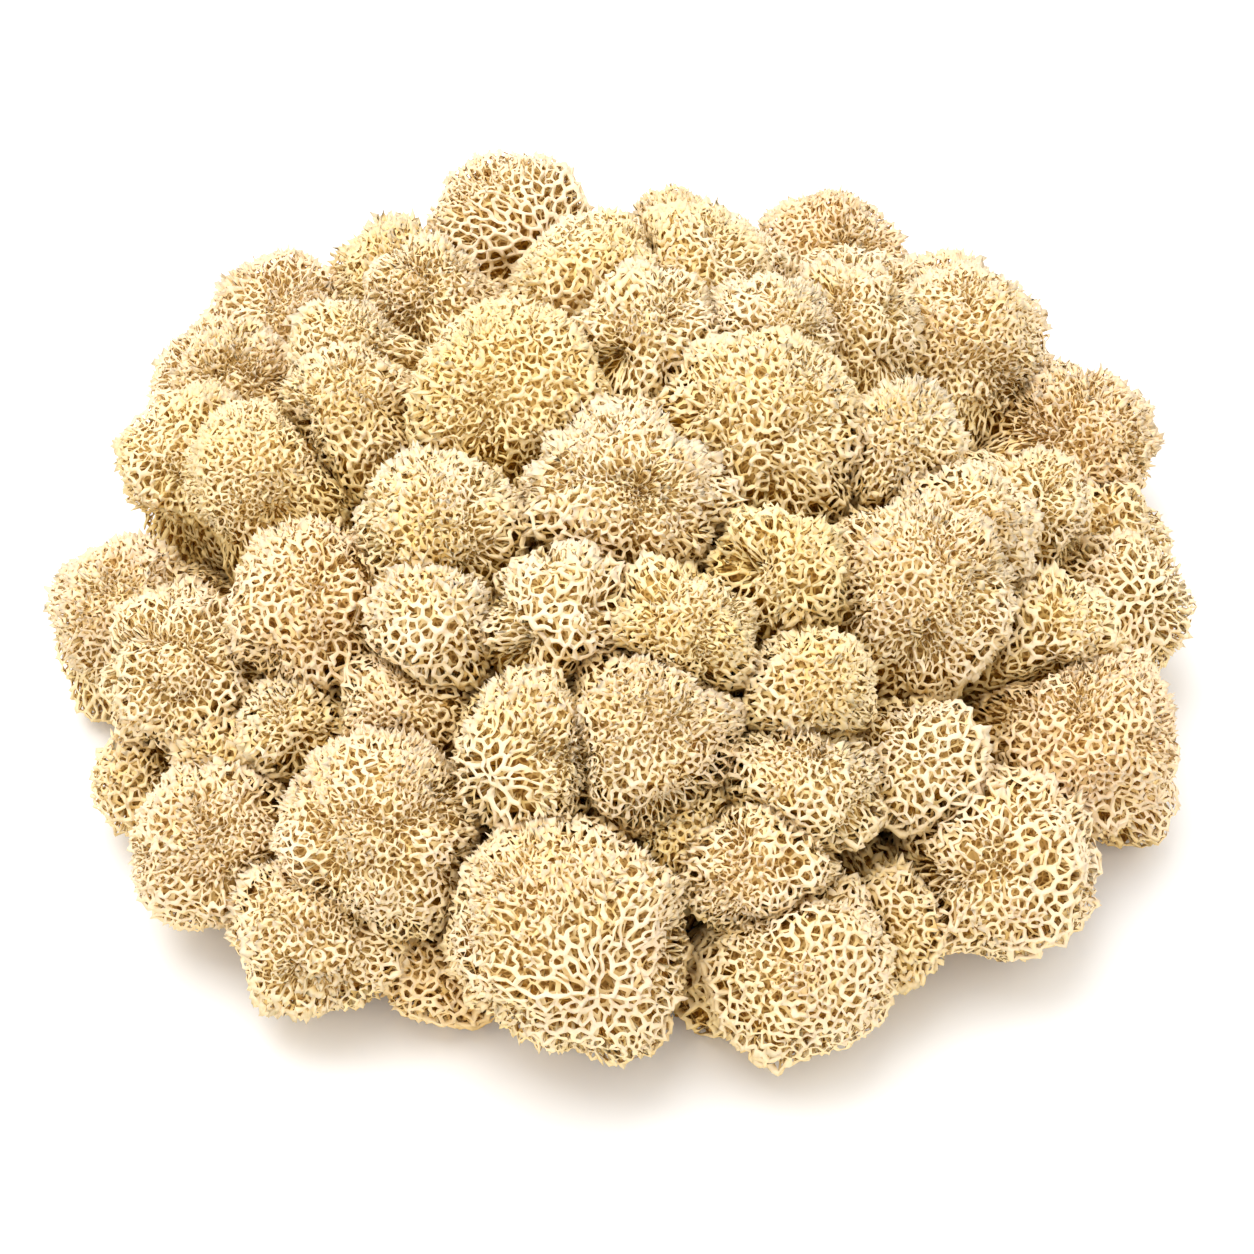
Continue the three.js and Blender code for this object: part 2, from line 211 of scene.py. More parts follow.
TINTS = {  # 0 is beige with a touch of pink, 0.5 ivory and 1 straw yellow
    "shoulder_head_06": 0.1,
    "rim_head_13": 0.15,
    "rim_head_18": 0.2,
    "rim_head_16": 0.25,
    "rim_head_21": 0.3,
    "rim_head_08": 0.1,
    "shoulder_head_07": 0.25,
    "shoulder_head_21": 0.35,
    "crown_head_01": 0.4,
    "shoulder_head_09": 0.5,
    "crown_head_02": 0.95,
    "crown_head_09": 1.0,
    "shoulder_head_12": 0.8,
    "shoulder_head_05": 0.8,
    "crown_head_12": 0.75,
    "crown_head_08": 0.8,
}
VIEW_ELEVATION = math.radians(50)
VIEW_RIGHT = np.array([1, 0, 0])
VIEW_UP = np.array([0, math.sin(VIEW_ELEVATION), math.cos(VIEW_ELEVATION)])
VIEW_BACK = np.array([0, -math.cos(VIEW_ELEVATION), math.sin(VIEW_ELEVATION)])


# ---- directions and noise --------------------------------------------------------------------


def fibonacci_directions(count):
    """Directions spread evenly over the whole sphere."""
    z = 1 - (2 * np.arange(count) + 1) / count
    ring = np.sqrt(1 - z * z)
    angle = math.pi * (3 - math.sqrt(5)) * np.arange(count)
    return np.column_stack([ring * np.cos(angle), ring * np.sin(angle), z])


def unit(vectors):
    return vectors / np.maximum(np.linalg.norm(vectors, axis=-1, keepdims=True), TINY)


def column(values):
    return np.asarray(values)[:, None]


def wave_noise(points, size, number):
    """Smooth noise of about -1 to 1 at each point, with waves of that size."""
    offset = Vector([number * step for step in NOISE_STEP])
    return np.array([noise.noise(Vector(p) / size + offset) for p in points])


# ---- heads -----------------------------------------------------------------------------------


def read_solid(node):
    """Corners in mm, with those at one place merged, and the triangles between them."""
    mesh = node.data
    mesh.calc_loop_triangles()
    places = np.empty(len(mesh.vertices) * 3)
    mesh.vertices.foreach_get("co", places)
    triangles = np.empty(len(mesh.loop_triangles) * 3, np.int64)
    mesh.loop_triangles.foreach_get("vertices", triangles)
    corners, merged = np.unique(np.round(places.reshape(-1, 3) / MM, 2), axis=0, return_inverse=True)
    return corners, merged.reshape(-1)[triangles].reshape(-1, 3)


def fit_ball(points, shares):
    """The ball whose centre lies share * radius from each point, with outliers left out."""
    centre = points.mean(0)
    radius = np.linalg.norm(points - centre, axis=1).mean()
    for _ in range(FIT_ROUNDS):
        away = points - centre
        distance = np.linalg.norm(away, axis=1)
        error = distance / shares - radius
        spread = max(USUAL_ERROR * np.median(np.abs(error)), LEAST_ERROR)
        weight = (1 - np.clip(error / (OUTLIER * spread), -1, 1) ** 2) ** 2
        slope = np.column_stack([-away / (distance * shares)[:, None], -np.ones(len(points))])
        normal = (slope * weight[:, None]).T @ slope + SMALL * np.eye(4)
        step = -np.linalg.solve(normal, (slope * weight[:, None]).T @ error)
        centre = centre + step[:3]
        radius += step[3]
    return centre, radius


def dome_height(points):
    """Height of the smooth dome over which the heads spread."""
    across = (points[:, 0] - DOME_MIDDLE[0]) / DOME_REACH[0]
    along = (points[:, 1] - DOME_MIDDLE[1]) / DOME_REACH[1]
    share = np.minimum((across**2 + along**2) / DOME_FOOT_SHARE, 1)
    return DOME_CROWN * (1 - share**DOME_SHOULDER)


class Head:
    """One plant: its centre and radius, and in each direction its reach and how open it is there."""

    def __init__(self, name, node):
        self.name = name
        self.corners, self.triangles = read_solid(node)
        faces = np.bincount(self.triangles.ravel(), minlength=len(self.corners))
        is_tip = faces == TIP_FACES
        self.whorled = is_tip[self.triangles].any(1)
        beside_tip = np.zeros(len(faces), bool)
        beside_tip[self.triangles[self.whorled].ravel()] = True
        is_funnel = beside_tip & (faces == FUNNEL_FACES)
        points = np.vstack([self.corners[is_tip], self.corners[is_funnel]])
        shares = np.r_[np.full(is_tip.sum(), TIP_SHARE), np.full(is_funnel.sum(), FUNNEL_SHARE)]
        self.centre, self.radius = fit_ball(points, shares)
        self.tips = self.corners[is_tip]
        self.tree = BVHTree.FromPolygons(self.corners.tolist(), self.triangles.tolist())

    def measure(self, heads, crowd):
        """Reach and openness in every look direction. crowd holds all the solids."""
        self.looks = fibonacci_directions(LOOKS)
        away = self.tips - self.centre
        tip_reach = np.linalg.norm(away, axis=1)
        nearness = self.radius**2 * (unit(self.looks) @ unit(away).T - 1) / TIP_BLUR**2
        weight = np.exp(nearness - nearness.max(1, keepdims=True))
        tip_outline = OUTLINE_LIFT * (weight @ tip_reach) / weight.sum(1)
        origin = Vector(self.centre)
        solid = [self.tree.ray_cast(origin, Vector(look)) for look in self.looks]
        distance = np.array([hit[3] or self.radius for hit in solid])
        whorled = np.array([hit[2] is not None and self.whorled[hit[2]] for hit in solid])
        reach = np.where(whorled, np.maximum(tip_outline, distance), distance)
        limit = self.press_limit(heads)
        reach = self.grow_undergrowth(self.melt(reach, heads), limit)
        self.look_reach = np.minimum(reach, np.maximum(limit, distance))
        starts = self.centre + self.looks * column(self.look_reach + OPEN_LIFT) + [0, 0, OPEN_LIFT]
        rays = [Vector(ray) for ray in fibonacci_directions(OPEN_RAYS)]
        self.look_open = np.zeros(LOOKS)
        for i, start in enumerate(starts):
            for ray in rays:
                grounded = start[2] < -ray.z * OPEN_RAY_LENGTH
                if not grounded and crowd.ray_cast(Vector(start), ray, OPEN_RAY_LENGTH)[0] is None:
                    self.look_open[i] += 1 / (OPEN_SHARE * OPEN_RAYS)
        self.look_open = np.minimum(self.look_open, 1)

    def press_limit(self, heads):
        """How far each look gets before it meets the plane half way to a neighbour."""
        limit = np.full(LOOKS, FAR)
        for other in heads:
            between = other.centre - self.centre
            apart = np.linalg.norm(between)
            if other is self or apart > NEIGHBOUR_REACH:
                continue
            middle = (apart**2 + self.radius**2 - other.radius**2) / (2 * apart) + PRESS_OVERLAP
            slope = self.looks @ (between / apart)
            nearer = np.minimum(limit, middle / np.maximum(slope, SMALL))
            limit = np.where(slope > SMALL, nearer, limit)
        return limit

    def melt(self, reach, heads):
        """The outline, raised in the valleys towards the neighbours."""
        melted = reach
        for _ in range(MELTING_ROUNDS):
            points = self.centre + self.looks * column(melted)
            raised = np.zeros(LOOKS)
            for other in heads:
                apart = np.linalg.norm(other.centre - self.centre)
                if other is not self and apart < NEIGHBOUR_REACH:
                    depth = other.radius - np.linalg.norm(points - other.centre, axis=1)
                    lead = np.minimum(depth + melted - reach, 0)
                    raised += MELTING * np.log1p(np.exp(lead / MELTING))
            melted = reach + raised
        return melted

    def grow_undergrowth(self, reach, limit):
        """The outline, drawn out to where the gap beside the head is filled with branches."""
        filled = reach.copy()
        wave = wave_noise([self.centre], UNDERGROWTH_SIZE, UNDERGROWTH_NOISE)[0]
        depth = UNDERGROWTH_DEPTH + UNDERGROWTH_SWING * wave
        for step in range(1, NEIGHBOUR_REACH):
            probe = reach + step
            points = self.centre + self.looks * column(probe)
            inside = (points[:, 2] < dome_height(points) - depth) & (points[:, 2] > 0)
            reachable = (probe < filled + BRIDGE) & (probe < limit)
            filled = np.where(inside & reachable, probe, filled)
        return filled

    def grow_lobes(self, rng):
        """Scatters the lobes of the head, which are small domes with narrow valleys between them."""
        tries = unit(rng.normal(0, 1, (LOBE_TRIES, 3)))
        sizes = LOBE_SIZE * np.exp(rng.normal(0, LOBE_SPREAD, LOBE_TRIES))
        places = tries * column(self.at(tries)[0])
        picked = scatter_hollows(places, sizes)
        self.lobes, self.lobe_sizes = places[picked], sizes[picked]

    def lobe_height(self, places):
        """How far the lobes lift the outline at those places, or lower it in their valleys."""
        apart = ((places[:, None] - self.lobes) ** 2).sum(2) / self.lobe_sizes**2
        height = self.style.lobed * self.lobe_sizes * (LOBE_CREST - LOBE_FALL * apart)
        highest = height.max(1)
        return highest + LOBE_BLEND * np.log(np.exp((height - column(highest)) / LOBE_BLEND).sum(1))

    def at(self, directions):
        """Reach and openness in any directions."""
        nearness = self.radius**2 * (directions @ self.looks.T - 1) / LOOK_BLUR**2
        weight = np.exp(nearness - nearness.max(1, keepdims=True))
        weight /= weight.sum(1, keepdims=True)
        return weight @ self.look_reach, weight @ self.look_open


class Style:
    """How the net of one head differs from the others."""

    def __init__(self, name, rng):
        self.fuzz = rng.uniform(*FUZZ)
        self.pitch = rng.uniform(*PITCH_SHARE)
        self.broken = rng.uniform(*BROKEN)
        self.lobed = rng.uniform(*LOBED)
        self.tint = TINTS.get(name, rng.uniform(*USUAL_TINT))
        self.fork = None
        if name in FORKS:
            right, up, self.fork_pitch, self.fork_reach = FORKS[name]
            towards = math.sqrt(1 - right**2 - up**2)
            self.fork = right * VIEW_RIGHT + up * VIEW_UP + towards * VIEW_BACK

    def near_fork(self, directions):
        """1 at the fork and 0 far from it."""
        if self.fork is None:
            return np.zeros(len(directions))
        angle = np.arccos(np.clip(directions @ self.fork, -1, 1))
        return np.exp(-((angle / self.fork_reach) ** 2))

    def draw_out(self, directions):
        """Moves even directions so that the hollows round the fork are long and point at it."""
        if self.fork is None:
            return directions, np.ones(len(directions))
        along = np.clip(directions @ self.fork, -1, 1)
        angle = np.maximum(np.arccos(along), SMALL)
        inside = angle < FORK_REACH
        moved = np.where(inside, FORK_REACH * (angle / FORK_REACH) ** FORK_STRETCH, angle)
        sideways = unit(directions - column(along) * self.fork)
        radial = np.where(inside, FORK_STRETCH * (angle / FORK_REACH) ** (FORK_STRETCH - 1), 1)
        stretch = np.sqrt(radial * np.sin(moved) / np.maximum(np.sin(angle), SMALL))
        return column(np.cos(moved)) * self.fork + column(np.sin(moved)) * sideways, stretch


# ---- cells -----------------------------------------------------------------------------------


def scatter_hollows(places, pitches):
    """Picks places, in their order, so that hollows of those pitches don't overlap."""
    chosen = np.empty(len(places), int)
    taken = np.empty((len(places), 3))
    taken_squares, halves = np.empty(len(places)), np.empty(len(places))
    squares = (places**2).sum(1)
    count = 0
    for i in range(len(places)):
        apart = taken_squares[:count] + squares[i] - 2 * (taken[:count] @ places[i])
        if (apart < (halves[:count] + CLOSENESS * pitches[i]) ** 2).any():
            continue
        chosen[count], taken[count] = i, places[i]
        taken_squares[count], halves[count] = squares[i], CLOSENESS * pitches[i]
        count += 1
    return chosen[:count]


def cells_round(directions, half_angles):
    """Triangles of neighbouring cells, and the direction of the junction in each triangle."""
    points = directions / np.cos(half_angles)[:, None]
    hull = bmesh.new()
    for point in points:
        hull.verts.new(point)
    hull.verts.index_update()
    bmesh.ops.convex_hull(hull, input=hull.verts)
    triangles = np.array([[v.index for v in face.verts] for face in hull.faces if len(face.verts) == 3])
    hull.free()
    a, b, c = (points[triangles[:, k]] for k in range(3))
    normals = unit(np.cross(b - a, c - a))
    inward = (normals * a).sum(1) < 0
    triangles[inward] = triangles[inward][:, ::-1]
    normals[inward] *= -1
    middles = unit(sum(directions[triangles[:, k]] for k in range(3)))
    return triangles, unit(normals + middles)


def find_edges(triangles):
    """Rows of (junction, its corner, other junction, its corner) for each edge between junctions."""
    count = len(triangles)
    starts = np.concatenate([triangles[:, k] for k in range(3)])
    ends = np.concatenate([triangles[:, (k + 1) % 3] for k in range(3)])
    key = np.minimum(starts, ends) * (triangles.max() + 1) + np.maximum(starts, ends)
    order = np.argsort(key, kind="stable")
    first, second = order[0::2], order[1::2]
    return np.column_stack([first % count, first // count, second % count, second // count])


def half_gaps(directions):
    """Half the angle from each direction to its nearest neighbour."""
    along = directions @ directions.T
    np.fill_diagonal(along, -1)
    return 0.5 * np.arccos(np.clip(along.max(1), -1, 1))


def shortest_edges(count, edges, lengths):
    """The length of the shortest edge at each junction."""
    shortest = np.full(count, FAR)
    np.minimum.at(shortest, edges[:, 0], lengths)
    np.minimum.at(shortest, edges[:, 2], lengths)
    return shortest


def hold_islands(standing, v, w):
    """Junctions with a column, when each loose part of the net gets at least one."""
    island = np.arange(len(standing))
    for _ in range(ISLAND_STEPS):
        np.minimum.at(island, v, island[w])
        np.minimum.at(island, w, island[v])
    held = np.zeros(len(standing), bool)
    held[island[standing]] = True
    return standing | ((island == np.arange(len(standing))) & ~held)


# ---- branches between two junctions ----------------------------------------------------------
# Corners of one branch, by number: 0 va, 1 vb, 2 wa, 3 wb are its ends at the junctions v and w on
# the side of the hollows a and b. 4 and 5 are the tops of v and w, and 6 is the top half way, so
# that its ridge goes up and down. A long branch also has a waist, 7 and 8, and an underside, 9.

FLAT_BRANCH = [(1, 0, 2), (1, 2, 3)]
SHORT_BRANCH = [(4, 0, 6), (0, 2, 6), (6, 2, 5), (4, 6, 1), (1, 6, 3), (6, 5, 3)]
LONG_BRANCH = [
    (4, 0, 7), (4, 7, 6), (6, 7, 5), (7, 2, 5),
    (4, 6, 8), (4, 8, 1), (6, 5, 8), (8, 5, 3),
    (7, 0, 9), (2, 7, 9), (1, 8, 9), (8, 3, 9),
]
COLUMN = [(1, 0, 3), (2, 1, 3), (0, 2, 3)]  # corners of a junction, and the foot under it


class Shape:
    """Corners with their depth under the outline, which sets their colour and carries painted shade,
    and triangles, gathered for one mesh.
    """

    def __init__(self):
        self.places, self.depths, self.triangles = [], [], []
        self.count = 0

    def add(self, places, depths):
        first = self.count
        self.places.append(places)
        self.depths.append(np.broadcast_to(depths, len(places)))
        self.count += len(places)
        return first + np.arange(len(places))

    def join(self, corners, faces):
        self.triangles.extend(np.column_stack([corners[k] for k in face]) for face in faces)


def net_character(head, directions, reach, opened):
    """How fuzzy the outer net is in each direction, and how far apart its hollows lie."""
    style = head.style
    world = directions * column(reach) + head.centre
    fork = style.near_fork(directions)
    fuzz = style.fuzz + FUZZ_SWING * wave_noise(world, FUZZ_SIZE, FUZZ_NOISE)
    fuzz = np.clip(fuzz + UPWARD_FUZZ * (directions[:, 2] - EVEN_SLOPE) - FORK_FUZZ * fork, 0, 1)
    swing = PITCH_SWING * wave_noise(world, PITCH_SIZE, PITCH_NOISE) + FUZZY_PITCH * (MEAN_FUZZ - fuzz)
    pitch = FINE_PITCH * style.pitch * np.exp(swing)
    if style.fork is not None:
        pitch = pitch * (1 - fork) + style.fork_pitch * np.exp(FORK_SWING * swing) * fork
    crevice = np.clip(1 - opened / CREVICE_OPEN, 0, 1)
    away = np.clip(BACK_FROM - directions @ VIEW_BACK, 0, 1)
    pitch = pitch * (1 + (CREVICE_PITCH - 1) * crevice) * (1 + (BACK_PITCH - 1) * away)
    return fuzz, np.where(opened < LEAST_OPEN, np.maximum(pitch, HIDDEN_PITCH), pitch)


def scattered(directions, scatter, rng):
    """Evenly spread directions, each moved a little at random."""
    apart = math.sqrt(4 * math.pi / len(directions))
    return unit(directions + rng.normal(0, scatter * apart, directions.shape))


def lay_out(head, rng, coarseness):
    """The cells of a net: which hollows meet at each junction, where it is and where they are."""
    tries = fibonacci_directions(int(TRIES * (head.radius / coarseness) ** 2))
    tries = scattered(tries, TRY_SCATTER, rng)
    drawn, stretch = head.style.draw_out(tries)
    reach, opened = head.at(drawn)
    size = coarseness * net_character(head, drawn, reach, opened)[1]
    size *= np.exp(rng.normal(0, PITCH_SPREAD, len(tries))) / np.maximum(stretch, LEAST_STRETCH)
    order = rng.permutation(len(tries))
    picked = order[scatter_hollows((tries * column(reach))[order], size[order])]
    widest = HOLLOW_SWELL * half_gaps(tries[picked])
    half_angles = np.minimum(0.5 * size[picked] / reach[picked], widest)
    triangles, joints = cells_round(tries[picked], half_angles)
    joints, _ = head.style.draw_out(joints)
    return triangles, joints, (drawn[picked] * column(reach[picked]))[triangles]


def free_share(opened):
    """Share of the lumps, lobes and roughness that has room where the surface is that open."""
    return np.minimum(opened * RELIEF_RISE, 1)


def lobed_outline(head, directions):
    """Reach with lobes and lumps, openness, and painted shade in crevices and valleys, as extra depth
    for the colour.
    """
    reach, opened = head.at(directions)
    places = directions * column(reach)
    lift = head.lobe_height(places)
    # painted shade: branches in crevices get the colour of deeper ones
    painted_shade = CREVICE_PAINTED_SHADE * np.clip(1 - opened / PAINTED_SHADE_OPEN, 0, 1)
    # painted shade: valleys between lobes get the colour of deeper branches
    painted_shade = painted_shade + VALLEY_PAINTED_SHADE * np.clip(-lift, 0, DEEPEST_VALLEY)
    for number, (size, height) in enumerate(LUMPS, LUMP_NOISE):
        lift += height * wave_noise(places + head.centre, size, number)
    return reach + lift * free_share(opened), opened, painted_shade


def inner_net(shape, head, rng):
    """A plainer net of flat branches under the outer one, seen through its hollows."""
    triangles, joints, site = lay_out(head, rng, INNER_COARSENESS)
    reach, opened, painted_shade = lobed_outline(head, joints)
    depth = INNER_DEPTH + rng.normal(0, INNER_ROUGHNESS, len(joints))
    place = joints * column(reach - depth)
    edges = find_edges(triangles)
    edge_length = np.linalg.norm(place[edges[:, 0]] - place[edges[:, 2]], axis=1)
    width = INNER_WIDTH * rng.uniform(*WIDTH_SPREAD, len(joints))
    width = np.minimum(width, CORNER_LIMIT * shortest_edges(len(triangles), edges, edge_length))
    corners = place[:, None] + unit(site - place[:, None]) * width[:, None, None]
    corner_ids = shape.add(corners.reshape(-1, 3), np.repeat(depth + painted_shade, 3)).reshape(-1, 3)
    kept = opened > INNER_OPEN
    shape.join(corner_ids[kept].T, [(0, 1, 2)])
    v, vk, w, wk = edges[kept[edges[:, 0]] & kept[edges[:, 2]]].T
    ends = [
        corner_ids[v, vk], corner_ids[v, (vk + 1) % 3],
        corner_ids[w, (wk + 1) % 3], corner_ids[w, wk],
    ]
    shape.join(ends, FLAT_BRANCH)


class OuterNet:
    """The net at the outline of a head, with the tips of its branches and its columns."""

    def __init__(self, shape, head, rng):
        self.shape, self.style, self.rng = shape, head.style, rng
        triangles, self.joints, self.site = lay_out(head, rng, 1)
        reach, opened, self.painted_shade = lobed_outline(head, self.joints)
        self.fuzz, _ = net_character(head, self.joints, reach, opened)
        self.reach = reach + rng.normal(0, ROUGHNESS, len(self.joints)) * free_share(opened)
        self.kept = opened > LEAST_OPEN
        self.place = self.joints * column(self.reach)
        self.edges = find_edges(triangles)
        v, _, w, _ = self.edges.T
        self.lengths = np.linalg.norm(self.place[v] - self.place[w], axis=1)
        # three hollows meet at a junction, each a pitch from the next and pitch / sqrt(3) from it
        to_hollows = np.linalg.norm(self.site - self.place[:, None], axis=2)
        self.pitch = math.sqrt(3) * to_hollows.mean(1)

    def grow(self):
        self.add_junctions()
        self.add_feet()
        whole = self.leave_gaps()
        self.stand_columns(whole)
        self.join_branches(whole)

    def add_junctions(self):
        """Three corners at each junction, below the outline, and the top over them."""
        rng, count = self.rng, len(self.joints)
        self.half = RIM_WIDTH * np.minimum(self.pitch, WIDEST_PITCH) ** RIM_GROWTH
        self.half = self.half * rng.uniform(*WIDTH_SPREAD, count)
        dip = (DIP + FUZZY_DIP * self.fuzz) * np.exp(rng.normal(0, DIP_SPREAD, count))
        self.dip = np.minimum(dip, DEEPEST_DIP * self.reach)
        low = self.place - self.joints * column(self.dip)
        towards = unit(self.site - self.place[:, None])
        shortest = shortest_edges(count, self.edges, self.lengths)
        corner_reach = np.minimum(CORNER_REACH * self.half, CORNER_LIMIT * shortest)
        corners = low[:, None] + towards * corner_reach[:, None, None]
        depths = np.repeat(self.dip + self.painted_shade, 3)
        self.corner_ids = self.shape.add(corners.reshape(-1, 3), depths).reshape(-1, 3)

        tipped = rng.random(count) < TIPS + FUZZY_TIPS * self.fuzz
        rise = np.where(tipped, self.dip * rng.uniform(*TIP_RISE, count), 0) + RIDGE * self.half
        lean = rng.normal(0, TIP_LEAN, low.shape) * column(rise)
        tops = low + self.joints * column(rise) + lean
        self.top_ids = self.shape.add(tops, self.dip - rise + self.painted_shade)

    def add_feet(self):
        """The foot of a column inside the core, for each junction."""
        depth = np.maximum(core_depth(self.pitch) + COLUMN_SINK, self.dip + LEAST_COLUMN)
        scatter = self.rng.normal(0, FOOT_SCATTER, self.joints.shape)
        feet = self.joints * column(self.reach - depth) + scatter
        self.foot_ids = self.shape.add(feet, depth + self.painted_shade)

    def leave_gaps(self):
        """Which branches are whole. Where one is left out, a small face closes either junction."""
        v, vk, w, wk = self.edges.T
        gaps = self.style.broken + FUZZY_GAPS * (self.fuzz[v] + self.fuzz[w]) / 2
        whole = self.kept[v] & self.kept[w] & (self.rng.random(len(v)) > gaps)
        for joint, corner in ((v, vk), (w, wk)):
            shut = ~whole & self.kept[joint]
            j, k = joint[shut], corner[shut]
            sides = [self.corner_ids[j, k], self.corner_ids[j, (k + 1) % 3], self.top_ids[j]]
            self.shape.join(sides, [(0, 1, 2)])
        return whole

    def stand_columns(self, whole):
        """Columns under some junctions, and under each part that hangs on no other."""
        v, _, w, _ = self.edges[whole].T
        chosen = (self.pitch > LARGE_PITCH) | (self.rng.random(len(self.joints)) < COLUMNS)
        standing = self.kept & hold_islands(chosen, v, w)
        self.shape.join([*self.corner_ids[standing].T, self.foot_ids[standing]], COLUMN)

    def join_branches(self, whole):
        """The whole branches. Each has a top half way, which is a bud on some of them."""
        rng, fuzz, joints = self.rng, self.fuzz, self.joints
        lengths = self.lengths[whole]
        v, vk, w, wk = self.edges[whole].T
        outward = unit(joints[v] + joints[w])
        sag = (self.dip[v] + self.dip[w]) / 2 + lengths * rng.uniform(*SAG, len(v))
        middle = (self.place[v] + self.place[w]) / 2 - outward * column(sag)
        thick = (self.half[v] + self.half[w]) / 2
        painted_shade = (self.painted_shade[v] + self.painted_shade[w]) / 2
        budded = rng.random(len(v)) < BUDS * (BUDDING + fuzz[v])
        bud = np.where(budded, sag * rng.uniform(*BUD_RISE, len(v)), 0) + RIDGE * thick
        lean = rng.normal(0, TIP_LEAN, middle.shape) * column(bud)
        bud_ids = self.shape.add(middle + outward * column(bud) + lean, sag - bud + painted_shade)
        corners = [
            self.corner_ids[v, vk], self.corner_ids[v, (vk + 1) % 3],
            self.corner_ids[w, (wk + 1) % 3], self.corner_ids[w, wk],
            self.top_ids[v], self.top_ids[w], bud_ids,
        ]
        long = lengths > LONG_RIM
        self.shape.join([c[~long] for c in corners], SHORT_BRANCH)
        corners = [c[long] for c in corners]
        v, vk, w, outward, middle, thick, sag, painted_shade = (
            values[long] for values in (v, vk, w, outward, middle, thick, sag, painted_shade)
        )
        along = unit(self.place[w] - self.place[v])
        waist = thick * rng.uniform(*WAIST, len(v))
        for corner in (vk, (vk + 1) % 3):
            towards = self.site[v, corner] - middle
            towards = unit(towards - along * column((towards * along).sum(1)))
            towards = unit(towards - outward * column((towards * outward).sum(1)))
            corners.append(self.shape.add(middle + towards * column(waist), sag + painted_shade))
        underside = middle - outward * column(UNDERSIDE * thick)
        corners.append(self.shape.add(underside, sag + thick + painted_shade))
        self.shape.join(corners, LONG_BRANCH)


def core_depth(pitch):
    """How deep the core lies under hollows of that pitch."""
    return CORE_DEPTH + CORE_DEEPENING * np.clip(pitch - FINE_PITCH, 0, DEEPENING_LIMIT)


def closed_core(shape, head, rng):
    """The closed body under the net. Where neighbours press, it fills the solid's own outline."""
    directions = scattered(fibonacci_directions(CORE_LOOKS), CORE_SCATTER, rng)
    stems = head.corners[head.corners[:, 2] < FOOT_HEIGHT] - head.centre
    directions = np.vstack([directions, unit(stems)]) if len(stems) else directions
    triangles, _ = cells_round(directions, np.zeros(len(directions)))
    reach, opened, painted_shade = lobed_outline(head, directions)
    origin = Vector(head.centre)
    solid = np.array([head.tree.ray_cast(origin, Vector(d))[3] or head.radius for d in directions])
    _, pitch = net_character(head, directions, reach, opened)
    exposed = np.clip(opened / CORE_OPEN, 0, 1)
    depth = core_depth(pitch) + rng.normal(0, CORE_ROUGHNESS, len(pitch))
    inside = np.maximum(reach - depth, LEAST_CORE * reach)
    radius = (1 - exposed) * (np.maximum(solid, reach) + CORE_OVERLAP) + exposed * inside
    foot = directions[:, 2] * solid + head.centre[2] < FOOT_HEIGHT
    radius = np.where(foot, solid, radius)
    ids = shape.add(directions * column(radius), np.maximum(depth, CORE_DEPTH) + painted_shade)
    shape.join(ids[triangles].T, [(0, 1, 2)])


# ---- meshes and materials --------------------------------------------------------------------


def make_mesh(name, shape, head):
    places = np.concatenate(shape.places) + head.centre
    depths = np.concatenate(shape.depths)
    triangles = np.concatenate(shape.triangles)
    used = np.unique(triangles)
    renumber = np.zeros(len(places), np.int64)
    renumber[used] = np.arange(len(used))
    triangles = renumber[triangles]
    places = places[used]
    places[:, 2] = np.maximum(places[:, 2], 0)
    mesh = bpy.data.meshes.new(name)
    mesh.vertices.add(len(places))
    mesh.vertices.foreach_set("co", (places * MM).astype(np.float32).ravel())
    mesh.loops.add(triangles.size)
    mesh.loops.foreach_set("vertex_index", triangles.astype(np.int32).ravel())
    mesh.polygons.add(len(triangles))
    mesh.polygons.foreach_set("loop_start", np.arange(0, triangles.size, 3, dtype=np.int32))
    mesh.polygons.foreach_set("use_smooth", np.ones(len(triangles), bool))
    mesh.update(calc_edges=True)
    # depth that sets the colour, with painted shade added
    depth = mesh.attributes.new("depth", "FLOAT", "POINT")
    depth.data.foreach_set("value", np.clip(depths[used], 0, DEEPEST).astype(np.float32))
    tint = mesh.attributes.new("tint", "FLOAT", "POINT")
    tint.data.foreach_set("value", np.full(len(places), head.style.tint, np.float32))
    return mesh


def srgb(red, green, blue):
    """Linear values of a colour as it looks on a screen."""
    shares = (red / 255, green / 255, blue / 255)
    return tuple(c / 12.92 if c <= 0.04 else ((c + 0.055) / 1.055) ** 2.4 for c in shares)


# colours of each tier at its tips, a little below them, between branches and deep inside; the darkening
# with depth is partly the browner inner branches and partly painted shade
COLOURS = {
    "crown": [srgb(250, 234, 209), srgb(250, 231, 184), srgb(244, 216, 144), srgb(198, 144, 42)],
    "shoulder": [srgb(249, 232, 205), srgb(249, 229, 180), srgb(242, 213, 140), srgb(196, 142, 40)],
    "rim": [srgb(249, 231, 204), srgb(248, 227, 179), srgb(241, 211, 139), srgb(194, 140, 40)],
}
COLOUR_PLACES = [0.0, 0.2, 0.4, 0.75]  # where those colours are, in shares of the ramp's depth
RAMP_DEPTH = 6.0
TINT_STOPS = [(0.0, srgb(255, 245, 235)), (0.5, srgb(255, 251, 246)), (1.0, srgb(255, 247, 220))]
PATCH_SCALE = 90.0  # patches of another tint, for each metre
PATCH_SWING = 0.8
